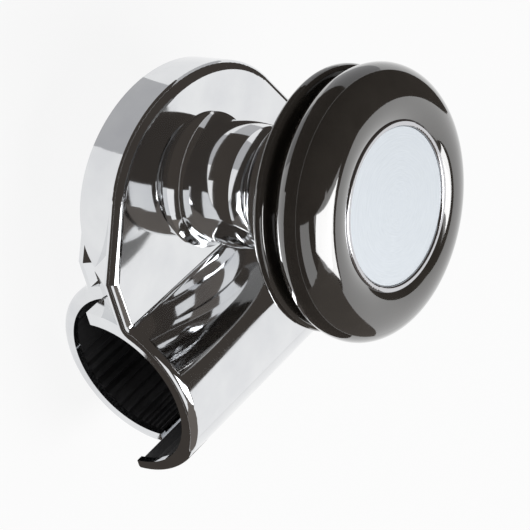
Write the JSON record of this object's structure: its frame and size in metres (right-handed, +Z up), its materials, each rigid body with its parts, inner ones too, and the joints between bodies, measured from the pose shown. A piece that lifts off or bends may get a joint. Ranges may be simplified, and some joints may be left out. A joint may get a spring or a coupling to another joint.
{
  "type": "steering wheel spinner knob",
  "caption": "Clamp-on spinner knob for a steering wheel rim: polished steel saddle clamp and stem, black rolled knob with a pale metal cap, turning on ball bearings.",
  "frame": {"origin": "on the axis of the clamped rim, midway along the clamp", "axes": "+X along the rim, +Y away from the hub of the wheel, +Z up the knob's spin axis towards the knob"},
  "size_m": [0.064, 0.075, 0.0731],
  "materials": {
    "polished_steel": "mirror polished stainless steel",
    "fastener_steel": "turned stainless steel",
    "bearing_steel": "ground bearing steel",
    "cage_plastic": "moulded nylon",
    "housing_aluminium": "turned aluminium",
    "rubber": "matt black rubber",
    "knob_black": "high gloss black moulding",
    "cap_satin": "satin, finely spun",
    "bezel_steel": "polished ring"
  },
  "bodies": {
    "clamp": {"front_bracket": "polished_steel", "rear_jaw": "polished_steel", "stem": "polished_steel", "front_liner": "rubber", "rear_liner": "rubber", "stem_seal": "rubber", "clamp_screws": "fastener_steel", "clamp_washers": "fastener_steel", "spindle": "fastener_steel", "spindle_nut": "fastener_steel", "spindle_lock_washer": "fastener_steel", "thrust_washer": "fastener_steel", "lower_inner_race": "bearing_steel", "upper_inner_race": "bearing_steel", "bearing_spacer": "bearing_steel"},
    "bearing_cages": {"lower_cage": "cage_plastic", "lower_balls": "bearing_steel", "upper_cage": "cage_plastic", "upper_balls": "bearing_steel"},
    "knob": {"knob_body": "knob_black", "knob_skirt": "knob_black", "cap_disc": "cap_satin", "cap_bezel": "bezel_steel", "bearing_housing": "housing_aluminium", "lower_outer_race": "bearing_steel", "upper_outer_race": "bearing_steel"}
  },
  "joints": [
    {"name": "knob_spin", "type": "hinge", "parent": "clamp", "child": "knob", "pos_m": [0, -0.03026, 0.04], "axis": [0, 0, 1], "continuous": true},
    {"name": "cage_spin", "type": "hinge", "parent": "clamp", "child": "bearing_cages", "pos_m": [0, -0.03026, 0.04], "axis": [0, 0, 1], "continuous": true}
  ],
  "couplings": [
    {"joint": "cage_spin", "follows": "knob_spin", "ratio": 0.59167}
  ]
}
